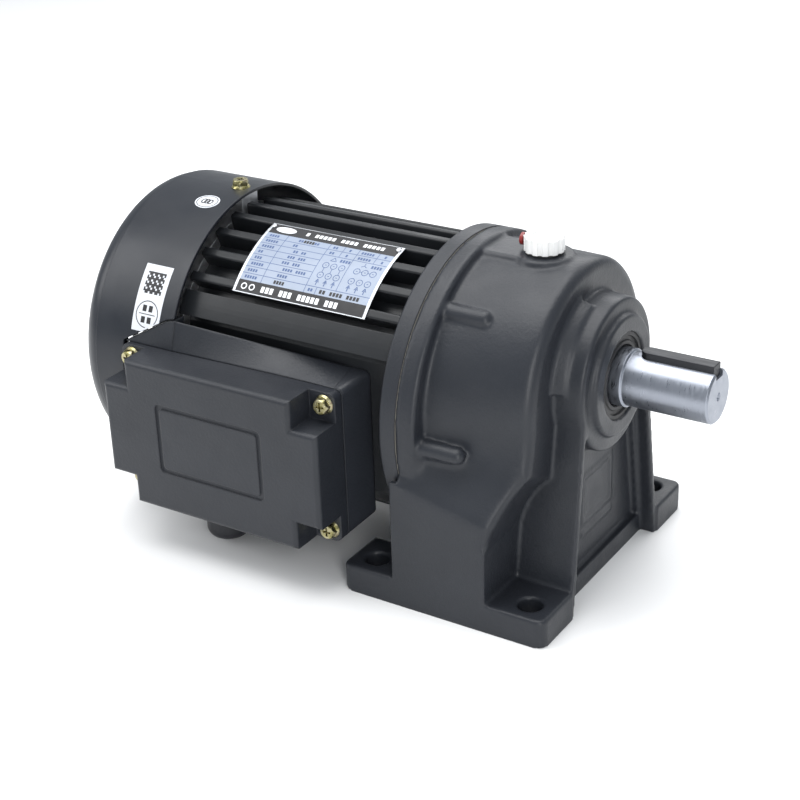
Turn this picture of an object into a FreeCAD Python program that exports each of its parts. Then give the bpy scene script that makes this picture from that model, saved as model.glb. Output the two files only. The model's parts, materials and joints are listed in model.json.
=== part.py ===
import FreeCAD, Part
import math
import os

# Foot-mounted three-phase gear motor: three spur stages in line with a fan-cooled induction motor.
# Frame: origin at the centre of the four foot holes on the base plane, +X out along the output
# shaft, +Z up, terminal box on the -Y side.  All lengths in millimetres.

V = FreeCAD.Vector
X_AXIS = V(1, 0, 0)
Y_AXIS = V(0, 1, 0)
Z_AXIS = V(0, 0, 1)

# ---------------------------------------------------------------- driving dimensions
OUTPUT_Z = 115.0            # height of the output shaft axis
MOTOR_Z = 94.0              # height of the motor axis
SHAFT_D = 28.0              # output shaft diameter
SHAFT_END_X = 110.0
SHOULDER_X = 65.0           # step from the seal journal to the output diameter
JOURNAL_R = 15.0
KEY_WIDTH = 8.0
KEY_HEIGHT = 7.0
KEY_DEPTH = 4.0

FOOT_HALF_X = 59.0
FOOT_HALF_Y = 83.0
FOOT_T = 15.6
HOLE_X = 45.0               # foot holes at (+-HOLE_X, +-HOLE_Y)
HOLE_Y = 70.0
FOOT_HOLE_R = 6.5

FLANGE_R = 82.0
BRACKET_X = (-33.7, -24.4)  # motor front bracket
GASKET_X = (-24.4, -24.0)
CASE_FLANGE_X = (-24.0, -13.6)
CASE_FRONT_X = 41.0
CASE_BOLT_R = 75.5          # bolt circle radius round the motor axis
CASE_BOLT_ANGLES = (-51.5, -2.5, 51.5, 128.5, 182.5, 231.5)

BOSS_R = 39.5
BOSS_X = 56.5
NOSE_R = 31.5
NOSE_X = 60.0
SEAL_R = 22.5

FRAME_X = (-167.0, -33.7)
FRAME_BORE_R = 56.5
FRAME_ROOT_R = 66.0
FIN_TIP_R = 76.0
FRAME_PAD_R = 74.5          # smooth side under the terminal box
FRAME_FLAT_Y = -59.5        # flat that the terminal box is bolted to
FRAME_FLAT_Z = (36.0, 127.6)
FIN_WIDTH = 5.2
FIN_PITCH = 11.5            # degrees
FIN_COUNT = 24
FIRST_FIN = 32.5            # degrees up from -Y
REAR_BRACKET_X = (-178.0, -167.0)

COVER_R = 84.0
COVER_WALL = 1.5
COVER_FRONT_X = -163.4
COVER_CREASE_X = -214.6
COVER_REAR_X = -228.0
COVER_SCREW_X = -172.5

BOX_X = (-194.6, -57.4)     # terminal box
BOX_Z = (28.7, 113.0)
BOX_FRONT_Y = -102.0
BOX_JOINT_Y = -78.0
BOX_NOTCH = 15.6
BOX_SCREW_INSET = 6.5
BOX_WALL = 3.0
BOX_BACK = (-187.0, -52.0, 34.5, 117.5)     # x0, x1, z0, z1 of the base at the flat
GLAND_X = -144.3
GLAND_Y = -68.2

CAP_X = 15.0                # oil filler cap
CAP_R = 10.3
CAP_SEAT_Z = 173.0

# gear train: (pinion teeth, gear teeth, module)
STAGE_1 = (13, 52, 1.0)
STAGE_2 = (13, 52, 1.25)
STAGE_3 = (12, 45, 1.75)
PRESSURE_ANGLE = math.radians(25.0)
ADDENDUM = 0.9
DEDENDUM = 1.15
BACKLASH = 0.16

MOTOR = (0.0, MOTOR_Z)
OUTPUT = (0.0, OUTPUT_Z)
SHAFT_B_Y = -20.0


# ---------------------------------------------------------------- small helpers
def export(node, shape):
    shape.exportStep("parts/" + node + ".step")


def join(shapes):
    """Fuse a list of shapes into one clean solid."""
    first = shapes[0]
    fused = first.multiFuse(shapes[1:]) if len(shapes) > 1 else first
    return fused.removeSplitter()


def group(shapes):
    return Part.makeCompound(shapes)


def rod(radius, x0, x1, centre=MOTOR):
    """Cylinder along X."""
    return Part.makeCylinder(radius, x1 - x0, V(x0, centre[0], centre[1]), X_AXIS)


def tube(outer, inner, x0, x1, centre=MOTOR):
    return rod(outer, x0, x1, centre).cut(rod(inner, x0 - 1, x1 + 1, centre))


def block(x0, x1, y0, y1, z0, z1):
    return Part.makeBox(x1 - x0, y1 - y0, z1 - z0, V(x0, y0, z0))


def turned(profile, centre=MOTOR):
    """Solid of revolution about an X-parallel axis from (x, radius) points."""
    x_first = profile[0][0]
    x_last = profile[-1][0]
    points = [(x_first, 0)] + list(profile) + [(x_last, 0), (x_first, 0)]
    wire = Part.makePolygon([V(x, centre[0], centre[1] + r) for x, r in points])
    return Part.Face(wire).revolve(V(0, centre[0], centre[1]), X_AXIS, 360)


def turned_ring(profile, centre=MOTOR):
    """Ring of revolution from a closed (x, radius) outline that stays off the axis."""
    points = list(profile) + [profile[0]]
    wire = Part.makePolygon([V(x, centre[0], centre[1] + r) for x, r in points])
    return Part.Face(wire).revolve(V(0, centre[0], centre[1]), X_AXIS, 360)


def polar(radius, degrees, centre=MOTOR):
    """Point (y, z) at an angle measured from +Y towards +Z."""
    angle = math.radians(degrees)
    return centre[0] + radius * math.cos(angle), centre[1] + radius * math.sin(angle)


def spin(shape, degrees, centre=MOTOR):
    return shape.copy().rotate(V(0, centre[0], centre[1]), X_AXIS, degrees)


def prism_x(points, x0, x1):
    """Extrude a closed (y, z) polygon along X."""
    wire = Part.makePolygon([V(x0, y, z) for y, z in list(points) + [points[0]]])
    return Part.Face(wire).extrude(V(x1 - x0, 0, 0))


def prism_y(points, y0, y1):
    """Extrude a closed (x, z) polygon along Y."""
    wire = Part.makePolygon([V(x, y0, z) for x, z in list(points) + [points[0]]])
    return Part.Face(wire).extrude(V(0, y1 - y0, 0))


def prism_z(points, z0, z1):
    """Extrude a closed (x, y) polygon along Z."""
    wire = Part.makePolygon([V(x, y, z0) for x, y in list(points) + [points[0]]])
    return Part.Face(wire).extrude(V(0, 0, z1 - z0))


def loft(wires):
    return Part.makeLoft(wires, True, True)


def round_edges(shape, radius, wanted):
    """Round the edges for which wanted(edge) is true."""
    edges = [edge for edge in shape.Edges if wanted(edge)]
    return shape.makeFillet(radius, edges)


def runs_along(edge, axis):
    if not isinstance(edge.Curve, Part.Line):
        return False
    return abs(abs(edge.Curve.Direction.dot(axis)) - 1.0) < 1e-6


def mirrored_y(shape):
    return shape.mirror(V(0, 0, 0), Y_AXIS)


# ---------------------------------------------------------------- gears
def involute(angle):
    return math.tan(angle) - angle


def gear(teeth, module, x0, x1, centre, phase, bore=0.0):
    """External spur gear with one tooth centred at phase (radians from +Y towards +Z)."""
    pitch_r = module * teeth / 2.0
    base_r = pitch_r * math.cos(PRESSURE_ANGLE)
    tip_r = pitch_r + ADDENDUM * module
    root_r = pitch_r - DEDENDUM * module
    half_pitch = math.pi / (2 * teeth) - BACKLASH / (4 * pitch_r)

    def half_angle(radius):
        roll = math.acos(min(1.0, base_r / radius))
        return half_pitch + involute(PRESSURE_ANGLE) - involute(roll)

    def at(radius, angle):
        return V(x0, centre[0] + radius * math.cos(angle), centre[1] + radius * math.sin(angle))

    start_r = max(base_r, root_r)
    middle_r = 0.5 * (start_r + tip_r)
    foot = half_angle(start_r)
    middle = half_angle(middle_r)
    tip = half_angle(tip_r)
    step = 2 * math.pi / teeth
    edges = []
    for number in range(teeth):
        mid = phase + number * step
        if start_r > root_r + 1e-6:
            edges.append(Part.makeLine(at(root_r, mid - foot), at(start_r, mid - foot)))
        edges.append(Part.Arc(at(start_r, mid - foot), at(middle_r, mid - middle),
                              at(tip_r, mid - tip)).toShape())
        edges.append(Part.Arc(at(tip_r, mid - tip), at(tip_r, mid), at(tip_r, mid + tip)).toShape())
        edges.append(Part.Arc(at(tip_r, mid + tip), at(middle_r, mid + middle),
                              at(start_r, mid + foot)).toShape())
        if start_r > root_r + 1e-6:
            edges.append(Part.makeLine(at(start_r, mid + foot), at(root_r, mid + foot)))
        edges.append(Part.Arc(at(root_r, mid + foot), at(root_r, mid + step / 2),
                              at(root_r, mid + step - foot)).toShape())
    solid = Part.Face(Part.Wire(edges)).extrude(V(x1 - x0, 0, 0))
    if bore:
        solid = solid.cut(rod(bore, x0 - 1, x1 + 1, centre))
    return solid


def centre_distance(stage):
    return stage[2] * (stage[0] + stage[1]) / 2.0


def direction(start, end):
    return math.atan2(end[1] - start[1], end[0] - start[0])


def place_shafts():
    """Shaft B hangs below the output gear; shaft A is where both of its meshes close."""
    reach = centre_distance(STAGE_3)
    shaft_b = (SHAFT_B_Y, OUTPUT_Z - math.sqrt(reach ** 2 - SHAFT_B_Y ** 2))
    to_motor = centre_distance(STAGE_1)
    to_b = centre_distance(STAGE_2)
    gap = math.hypot(MOTOR[0] - shaft_b[0], MOTOR[1] - shaft_b[1])
    along = (to_b ** 2 - to_motor ** 2 + gap ** 2) / (2 * gap)
    across = math.sqrt(to_b ** 2 - along ** 2)
    unit = ((MOTOR[0] - shaft_b[0]) / gap, (MOTOR[1] - shaft_b[1]) / gap)
    shaft_a = (shaft_b[0] + along * unit[0] + across * unit[1],
               shaft_b[1] + along * unit[1] - across * unit[0])
    return shaft_a, shaft_b


SHAFT_A, SHAFT_B = place_shafts()


def mesh_pair(stage, driver_centre, driven_centre, driver_x, driven_x, driven_bore):
    """Pinion with a tooth on the line of centres and its gear with a gap there."""
    pinion_teeth, gear_teeth, module = stage
    line = direction(driver_centre, driven_centre)
    pinion = gear(pinion_teeth, module, driver_x[0], driver_x[1], driver_centre, line)
    gap_phase = line + math.pi + math.pi / gear_teeth
    wheel = gear(gear_teeth, module, driven_x[0], driven_x[1], driven_centre, gap_phase, driven_bore)
    return pinion, wheel


PINION_1_X = (-21.0, -11.0)
GEAR_1_X = (-20.0, -12.0)
PINION_2_X = (-9.0, 3.0)
GEAR_2_X = (-8.0, 2.0)
PINION_3_X = (14.5, 33.5)
GEAR_3_X = (15.0, 33.0)
GEAR_1_BORE = 8.0
GEAR_2_BORE = 10.0

PINION_1, GEAR_1 = mesh_pair(STAGE_1, MOTOR, SHAFT_A, PINION_1_X, GEAR_1_X, GEAR_1_BORE)
PINION_2, GEAR_2 = mesh_pair(STAGE_2, SHAFT_A, SHAFT_B, PINION_2_X, GEAR_2_X, GEAR_2_BORE)
PINION_3, GEAR_3 = mesh_pair(STAGE_3, SHAFT_B, OUTPUT, PINION_3_X, GEAR_3_X, JOURNAL_R)

# ---------------------------------------------------------------- bearings: (bore r, outer r, x0, x1)
OUTPUT_FRONT_BEARING = (15.0, 31.0, 37.0, 53.0)
OUTPUT_REAR_BEARING = (10.0, 21.0, 4.5, 12.5)
SHAFT_A_BEARINGS = ((6.0, 14.0, -32.0, -24.4), (6.0, 14.0, 4.5, 12.5))
SHAFT_B_BEARINGS = ((6.0, 14.0, -32.0, -24.4), (6.0, 14.0, 34.5, 42.5))
MOTOR_FRONT_BEARING = (8.5, 20.0, -50.0, -38.0)
MOTOR_REAR_BEARING = (7.5, 17.5, -175.0, -164.0)
RACE_CLEARANCE = 0.12


def ball_bearing(size, centre, balls):
    """Outer ring, inner ring and balls of a deep-groove bearing."""
    bore_r, outer_r, x0, x1 = size
    middle_x = 0.5 * (x0 + x1)
    pitch_r = 0.5 * (bore_r + outer_r)
    ball_r = min(0.29 * (outer_r - bore_r), 0.36 * (x1 - x0))
    groove = Part.makeTorus(pitch_r, ball_r + RACE_CLEARANCE, V(middle_x, centre[0], centre[1]), X_AXIS)
    outer = tube(outer_r, pitch_r + 0.55 * ball_r, x0, x1, centre).cut(groove)
    inner = tube(pitch_r - 0.55 * ball_r, bore_r, x0, x1, centre).cut(groove)
    spheres = []
    for number in range(balls):
        y, z = polar(pitch_r, 360.0 * number / balls, centre)
        spheres.append(Part.makeSphere(ball_r, V(middle_x, y, z)))
    return outer, inner, spheres


def export_bearings(name, sizes_and_centres, balls):
    """One file of outer rings, one of inner rings and one of balls for the bearings of a shaft."""
    outers, inners, spheres = [], [], []
    for size, centre in sizes_and_centres:
        outer, inner, ball_list = ball_bearing(size, centre, balls)
        outers.append(outer)
        inners.append(inner)
        spheres.extend(ball_list)
    export(name + "_bearing_outer_rings", group(outers))
    export(name + "_bearing_inner_rings", group(inners))
    export(name + "_bearing_balls", group(spheres))


# ---------------------------------------------------------------- fasteners
def placed(shape, position, axis):
    """Move a shape built on +Z at the origin to a position, with its +Z along axis."""
    moved = shape.copy()
    moved.Placement = FreeCAD.Placement(position, FreeCAD.Rotation(Z_AXIS, axis))
    return moved


def hex_prism(across_flats, z0, z1):
    radius = across_flats / math.sqrt(3)
    points = [V(radius * math.cos(k * math.pi / 3), radius * math.sin(k * math.pi / 3),
                z0) for k in range(7)]
    return Part.Face(Part.makePolygon(points)).extrude(V(0, 0, z1 - z0))


def flange_screw(thread_r, length, across_flats):
    """Cross-recess hexagon screw with a washer face; the head sits on z = 0."""
    flange_r = 0.66 * across_flats
    head_h = 0.55 * across_flats
    head = join([Part.makeCone(flange_r, flange_r - 0.8, 1.2), hex_prism(across_flats, 0.6, head_h)])
    head = head.common(Part.makeCone(flange_r + 0.6, across_flats * 0.47, head_h))
    arm = 0.62 * across_flats
    slot_w = 0.14 * across_flats
    for turn in (0, 90):
        slot = Part.makeBox(arm, slot_w, 1.8, V(-arm / 2, -slot_w / 2, head_h - 1.6))
        head = head.cut(slot.rotate(V(0, 0, 0), Z_AXIS, turn))
    return join([head, Part.makeCylinder(thread_r, length + 0.3, V(0, 0, -length))])


def socket_screw(thread_r, length, head_r, head_h):
    head = Part.makeCylinder(head_r, head_h).cut(hex_prism(0.95 * head_r, 0.45 * head_h, head_h + 1))
    return join([head, Part.makeCylinder(thread_r, length + 0.3, V(0, 0, -length))])


# ---------------------------------------------------------------- gear case
CASE_REAR_X = -24.0
CASE_ROUND_R = 5.5          # rounding of the front edge
# (top radius, centre height, flare middle |y|, flare middle z, flare end z) of the end sections
REAR_SECTION = (73.6, 98.4, 76.2, 84.0, 71.0)
FRONT_SECTION = (62.5, 109.0, 67.5, 82.0, 57.0)


def case_section(x, inset=0.0):
    """Cross-section at x: flat base, upright sides, flared shoulders and a round top."""
    share = (x - CASE_REAR_X) / (CASE_FRONT_X - CASE_REAR_X)
    radius, centre_z, flare_y, flare_z, flare_end_z = [
        rear + share * (front - rear) for rear, front in zip(REAR_SECTION, FRONT_SECTION)]
    radius -= inset
    flare_y -= inset
    flare_end_z -= inset
    half = FOOT_HALF_Y - inset

    def arc(a, b, c):
        return Part.Arc(V(x, a[0], a[1]), V(x, b[0], b[1]), V(x, c[0], c[1])).toShape()

    return Part.Wire([
        Part.makeLine(V(x, -half, 0), V(x, half, 0)),
        Part.makeLine(V(x, half, 0), V(x, half, flare_end_z)),
        arc((half, flare_end_z), (flare_y, flare_z), (radius, centre_z)),
        arc((radius, centre_z), (0, centre_z + radius), (-radius, centre_z)),
        arc((-radius, centre_z), (-flare_y, flare_z), (-half, flare_end_z)),
        Part.makeLine(V(x, -half, flare_end_z), V(x, -half, 0)),
    ])


def circle_wire(x, radius, centre_z):
    return Part.Wire(Part.makeCircle(radius, V(x, 0, centre_z), X_AXIS))


COLUMN_BASE_HALF = 52.5     # half-width of the front column at the foot
COLUMN_TOP_HALF = 37.5      # and where it meets the boss
COLUMN_TOP_Z = 103.0


def column_outline(inset, bottom_z, top_z):
    """Tapering front column between the two rims, inset from its outer flanks."""
    slope = (COLUMN_BASE_HALF - COLUMN_TOP_HALF) / (COLUMN_TOP_Z - FOOT_T)
    low = COLUMN_BASE_HALF - inset - slope * (max(bottom_z, FOOT_T) - FOOT_T)
    high = COLUMN_BASE_HALF - inset - slope * (top_z - FOOT_T)
    return [(-low, bottom_z), (low, bottom_z), (high, top_z), (-high, top_z)]


def case_body():
    """Tapered body of the case, with its front edge rounded in small steps."""
    steps = 6
    sections = [case_section(CASE_REAR_X)]
    for number in range(steps + 1):
        angle = number * math.pi / 2 / steps
        x = CASE_FRONT_X - CASE_ROUND_R * (1 - math.sin(angle))
        sections.append(case_section(x, CASE_ROUND_R * (1 - math.cos(angle))))
    return loft(sections)


def front_pocket():
    """Space left above each front lug, outside the column, under the sloping shoulder."""
    def section(y, knee, middle, mouth):
        return Part.Wire([
            Part.makeLine(V(26, y, FOOT_T), V(26, y, knee[1])),
            Part.Arc(V(26, y, knee[1]), V(middle[0], y, middle[1]), V(mouth[0], y, mouth[1])).toShape(),
            Part.makeLine(V(mouth[0], y, mouth[1]), V(75, y, mouth[1])),
            Part.makeLine(V(75, y, mouth[1]), V(75, y, FOOT_T)),
            Part.makeLine(V(75, y, FOOT_T), V(26, y, FOOT_T)),
        ])

    inner = section(-30, (26, 46), (31, 59), (42, 68))
    outer = section(-90, (26, 46), (32, 68), (42, 96))
    return loft([inner, outer]).cut(prism_x(column_outline(0, 0, OUTPUT_Z), 0, 80))


def foot_lugs():
    lugs = []
    for x0, x1, inner in ((24.0, FOOT_HALF_X, 50.5), (-FOOT_HALF_X, -20.0, 51.5)):
        lug = block(x0, x1, -FOOT_HALF_Y, -inner, 0, FOOT_T)
        outer_x = x1 if x1 > 0 else x0
        lug = round_edges(lug, 5.0,
                          lambda e: runs_along(e, Z_AXIS) and abs(e.BoundBox.XMin - outer_x) < 1e-3
                          and e.BoundBox.YMin < -80)
        lug = round_edges(lug, 1.5, lambda e: e.BoundBox.ZMin > FOOT_T - 1e-3
                          and (abs(e.BoundBox.XMax - outer_x) < 5.5 or e.BoundBox.YMax < -80))
        lugs.extend([lug, mirrored_y(lug)])
    return lugs


def boss():
    """Round boss on the front face that carries the output bearing and the shaft seal."""
    drum = turned([(38, BOSS_R + 1.2), (BOSS_X - 1, BOSS_R), (BOSS_X, BOSS_R - 1), (BOSS_X, NOSE_R + 0.8),
                   (BOSS_X + 0.8, NOSE_R), (NOSE_X - 0.8, NOSE_R), (NOSE_X, NOSE_R - 0.8)], OUTPUT)
    ledge = turned([(38, 44.4), (41, 44.0), (47.5, 41.4), (48.5, 40.4)], OUTPUT)
    sector = prism_x([OUTPUT, polar(70, 105, OUTPUT), polar(90, 140, OUTPUT), polar(70, 175, OUTPUT)], 38,
                     52)
    return [drum, ledge.common(sector)]


def column():
    """Column under the boss: recessed panel, side rims and the bottom rail."""
    core = prism_x(column_outline(0, 0, COLUMN_TOP_Z), 20, 46)
    rim_outer = prism_x(column_outline(0, 0, COLUMN_TOP_Z), 44, 58)
    rim_step = prism_x(column_outline(4.5, -1, COLUMN_TOP_Z + 1), 50, 60)
    rim_panel = prism_x(column_outline(8.0, 11.0, COLUMN_TOP_Z + 1), 46, 60)
    rims = rim_outer.cut(rim_step).cut(rim_panel)
    lean = prism_y([(58.2, -1), (70, -1), (70, 140), (55.8, 140), (58.2, 16)], -70, 70)
    return [core, rims.cut(lean)]


def cap_pad():
    """Flat pad round the oil filler, running back to the flange."""
    pad = join([block(-20, CAP_X, -13, 13, 150, CAP_SEAT_Z), Part.makeCylinder(15.5, CAP_SEAT_Z - 150,
                                                                               V(CAP_X, 0, 150))])
    return round_edges(pad, 1.2, lambda e: e.BoundBox.ZMin > CAP_SEAT_Z - 1e-3)


def bolt_ridge(degrees, x_end):
    """Rounded end of a blind bolt hole, standing out of the barrel."""
    y, z = polar(CASE_BOLT_R - 1.0, degrees)
    tip = Part.makeSphere(4.4, V(x_end, y, z))
    return join([Part.makeCone(5.0, 4.4, x_end + 20, V(-20, y, z), X_AXIS), tip])


def panel_mark():
    """Plain raised frame cast on the front panel."""
    outer = block(45, 46.8, -17, 17, 34, 62)
    inner = block(44, 50, -15.2, 15.2, 35.8, 60.2)
    bar = block(45, 46.8, -17, 17, 27, 29)
    return [outer.cut(inner), bar]


CAVITY_STEP_X = 12.5
CAVITY_FRONT_X = 34.5
PLATE_R = 60.2
PLATE_CENTRE_Z = 103.0
PLATE_BOLT_R = 54.0
PLATE_BOLT_ANGLES = (25, 155, 320)


def cavity():
    """Oil space of the case: tapered barrel, clearance for the first two gears, front chamber."""
    rear = loft([circle_wire(-24.0, 67.0, 98.0), circle_wire(CAVITY_STEP_X, PLATE_R + 0.2,
                                                             PLATE_CENTRE_Z)])
    rear_a = rod(60.5, -24.0, -9.5, MOTOR)
    rear_b = rod(36.5, -24.0, 4.0, SHAFT_B)
    chamber = rod(57.0, CAVITY_STEP_X, CAVITY_FRONT_X, (0, 106.5))
    keep_in = prism_x(column_outline(4.5, 0, 86.0), 0, 60).fuse(block(0, 60, -70, 70, 86.0, 200))
    chamber = join([rod(57.0, CAVITY_STEP_X, 24.0, (0, 106.5)), chamber.common(keep_in)])
    for degrees in PLATE_BOLT_ANGLES:
        spot = polar(PLATE_BOLT_R, degrees, (0, PLATE_CENTRE_Z))
        chamber = chamber.cut(rod(7.0, CAVITY_STEP_X, CAVITY_FRONT_X + 1, spot))
    return join([rear, rear_a, rear_b, chamber])


def gear_case():
    body = case_body().cut(front_pocket()).cut(mirrored_y(front_pocket()))
    cradle = block(-28.0, -23.0, -FOOT_HALF_Y, FOOT_HALF_Y, 0, REAR_SECTION[4])
    apron = block(-34.5, 50.0, -52.5, 52.5, 0, 9.0)
    flange = turned([(CASE_FLANGE_X[0], FLANGE_R), (CASE_FLANGE_X[1] - 1.5, FLANGE_R),
                     (CASE_FLANGE_X[1], FLANGE_R - 1.5)])
    pieces = [body, cradle, apron, flange] + foot_lugs() + boss() + column() + [cap_pad()] + panel_mark()
    pieces += [bolt_ridge(angle, 7.0) for angle in CASE_BOLT_ANGLES if angle not in (-51.5, 231.5)]
    case = join(pieces)
    case = case.cut(rod(FLANGE_R + 0.6, -70, CASE_FLANGE_X[0]))
    case = case.cut(cavity())
    case = case.cut(rod(24.0, 30, 38, OUTPUT))
    case = case.cut(rod(OUTPUT_FRONT_BEARING[1], OUTPUT_FRONT_BEARING[2], 54, OUTPUT))
    case = case.cut(rod(SEAL_R, 50, NOSE_X + 1, OUTPUT))
    case = case.cut(rod(14.0, 30, SHAFT_B_BEARINGS[1][3], SHAFT_B))
    for sx in (-1, 1):
        for sy in (-1, 1):
            case = case.cut(Part.makeCylinder(FOOT_HOLE_R, 60, V(sx * HOLE_X, sy * HOLE_Y, -5)))
    for angle in CASE_BOLT_ANGLES:
        case = case.cut(rod(2.5, -30, -8, polar(CASE_BOLT_R, angle)))
    for angle in PLATE_BOLT_ANGLES:
        case = case.cut(rod(2.5, 10, 27, polar(PLATE_BOLT_R, angle, (0, PLATE_CENTRE_Z))))
    case = case.cut(Part.makeCylinder(7.0, 40, V(CAP_X, 0, CAP_SEAT_Z - 30)))
    case = case.cut(Part.makeCylinder(6.0, 60, V(5, 90, 20), V(0, -1, 0)))
    return case.removeSplitter()


def build_gear_case():
    export("gear_case", gear_case())
    export("case_gasket", build_gasket())
    screw = socket_screw(2.5, 20, 4.3, 5.0)
    bolts = []
    for angle in CASE_BOLT_ANGLES:
        y, z = polar(CASE_BOLT_R, angle)
        bolts.append(placed(screw, V(BRACKET_X[0] + 5.2, y, z), X_AXIS * -1))
    export("case_bolts", group(bolts))


def build_gasket():
    gasket = tube(FLANGE_R - 0.6, 69.5, GASKET_X[0], GASKET_X[1])
    for angle in CASE_BOLT_ANGLES:
        gasket = gasket.cut(rod(2.8, -30, -20, polar(CASE_BOLT_R, angle)))
    return gasket


def build_plate():
    """Web inside the case that carries the inner bearings of the output shaft and of shaft A."""
    centre = (0, PLATE_CENTRE_Z)
    plate = rod(PLATE_R, 4.5, CAVITY_STEP_X, centre).cut(rod(36.5, 3.5, 4.9, SHAFT_B))
    plate = plate.cut(rod(OUTPUT_REAR_BEARING[1], 0, 20, OUTPUT)).cut(rod(14.0, 0, 20, SHAFT_A))
    plate = plate.cut(rod(15.0, 0, 20, SHAFT_B))
    screws = []
    for angle in PLATE_BOLT_ANGLES:
        spot = polar(PLATE_BOLT_R, angle, centre)
        plate = plate.cut(rod(2.6, 0, 20, spot))
        screws.append(placed(socket_screw(2.5, 20, 4.2, 5.0), V(4.5, spot[0], spot[1]), X_AXIS * -1))
    export("intermediate_plate", plate)
    export("plate_screws", group(screws))


def build_oil_fittings():
    """Twelve-lobed filler cap with its red breather plug, sealing ring and the drain plug."""
    base_z = CAP_SEAT_Z + 1.2
    cap = Part.makeCylinder(CAP_R, 7.4, V(CAP_X, 0, base_z))
    for number in range(12):
        angle = math.radians(15 + 30 * number)
        groove = Part.makeCylinder(1.6, 9, V(CAP_X + (CAP_R + 0.7) * math.cos(angle),
                                             (CAP_R + 0.7) * math.sin(angle),
                                             base_z - 0.5))
        cap = cap.cut(groove)
    dish = Part.makeCylinder(6.8, 1.0, V(CAP_X, 0, base_z + 6.8))
    stem = Part.makeCylinder(6.9, 10, V(CAP_X, 0, base_z - 9))
    spot = V(CAP_X, 0, base_z + 3.8)
    plug_bore = Part.makeCylinder(2.6, 8, spot - V(5.5, 0, 0), X_AXIS * -1)
    cap = join([cap.cut(dish), stem]).cut(plug_bore)
    export("oil_filler_cap", cap)
    plug = join([Part.makeCylinder(2.6, 6.0, spot - V(5.5, 0, 0), X_AXIS * -1),
                 Part.makeCylinder(3.2, 1.8, spot - V(CAP_R + 0.5, 0, 0), X_AXIS * -1)])
    export("cap_breather_plug", plug)
    export("cap_seal", Part.makeCylinder(9.5, 1.2, V(CAP_X, 0, CAP_SEAT_Z)).cut(
        Part.makeCylinder(7.05, 4, V(CAP_X, 0, CAP_SEAT_Z - 1))))
    drain = join([placed(hex_prism(14, 0, 5), V(5, FOOT_HALF_Y, 20), Y_AXIS),
                  Part.makeCylinder(6.0, 20, V(5, FOOT_HALF_Y + 0.3, 20), Y_AXIS * -1)])
    export("drain_plug", drain)


# ---------------------------------------------------------------- output shaft
def build_output_shaft():
    shaft_r = SHAFT_D / 2
    shaft = turned([(3.5, 9.4), (4.1, 10), (14.5, 10), (14.5, JOURNAL_R), (33.2, JOURNAL_R), (33.2, 18.5),
                    (36.9, 18.5), (36.9, JOURNAL_R), (SHOULDER_X - 0.8, JOURNAL_R), (SHOULDER_X, shaft_r),
                    (SHAFT_END_X - 1, shaft_r), (SHAFT_END_X, shaft_r - 1)], OUTPUT)
    seat_z = OUTPUT_Z + shaft_r - KEY_DEPTH
    slot = block(73.5, 115, -KEY_WIDTH / 2, KEY_WIDTH / 2, seat_z, 150)
    slot = slot.fuse(Part.makeCylinder(KEY_WIDTH / 2, 20, V(73.5, 0, seat_z)))
    gear_key_z = OUTPUT_Z + JOURNAL_R - KEY_DEPTH
    gear_slot = block(17, 31, -KEY_WIDTH / 2, KEY_WIDTH / 2, gear_key_z, 150)
    centre_drill = Part.makeCone(2.2, 0.6, 5, V(SHAFT_END_X, 0, OUTPUT_Z), X_AXIS * -1)
    export("output_shaft", shaft.cut(slot).cut(gear_slot).cut(centre_drill))

    key = join([block(73.5, 108.6, -KEY_WIDTH / 2, KEY_WIDTH / 2, seat_z, seat_z + KEY_HEIGHT),
                Part.makeCylinder(KEY_WIDTH / 2, KEY_HEIGHT, V(73.5, 0, seat_z))])
    key = round_edges(key, 0.4, lambda e: e.BoundBox.ZMin > seat_z + KEY_HEIGHT - 1e-3)
    export("output_key", key)

    gear_key = block(17, 31, -KEY_WIDTH / 2, KEY_WIDTH / 2, gear_key_z, gear_key_z + KEY_HEIGHT)
    export("output_gear_key", gear_key)
    wheel = GEAR_3.cut(tube(33.0, 23.0, GEAR_3_X[1] - 4, GEAR_3_X[1] + 1, OUTPUT))
    wheel = wheel.cut(tube(33.0, 23.0, GEAR_3_X[0] - 1, GEAR_3_X[0] + 4, OUTPUT))
    for number in range(6):
        wheel = wheel.cut(rod(3.5, 10, 40, polar(28.0, 60 * number, OUTPUT)))
    wheel = wheel.cut(block(10, 40, -KEY_WIDTH / 2, KEY_WIDTH / 2, OUTPUT_Z, gear_key_z + KEY_HEIGHT))
    export("output_gear", wheel)

    lip_x = (53.0, 59.0)
    seal = turned_ring([(lip_x[0], SEAL_R), (lip_x[1], SEAL_R), (lip_x[1], SEAL_R - 2.0),
                        (lip_x[1] - 1.2, SEAL_R - 2.4),
                        (lip_x[1] - 1.2, 18.4), (lip_x[1] - 0.4, 17.8), (lip_x[1] - 0.4, JOURNAL_R + 1.2),
                        (lip_x[1] - 2.2, JOURNAL_R + 0.06), (lip_x[0] + 0.5, JOURNAL_R + 0.06), (lip_x[0],
                                                                                                 17.0)], OUTPUT)
    export("output_seal", seal)
    export_bearings("output", ((OUTPUT_FRONT_BEARING, OUTPUT), (OUTPUT_REAR_BEARING, OUTPUT)), 9)


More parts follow.
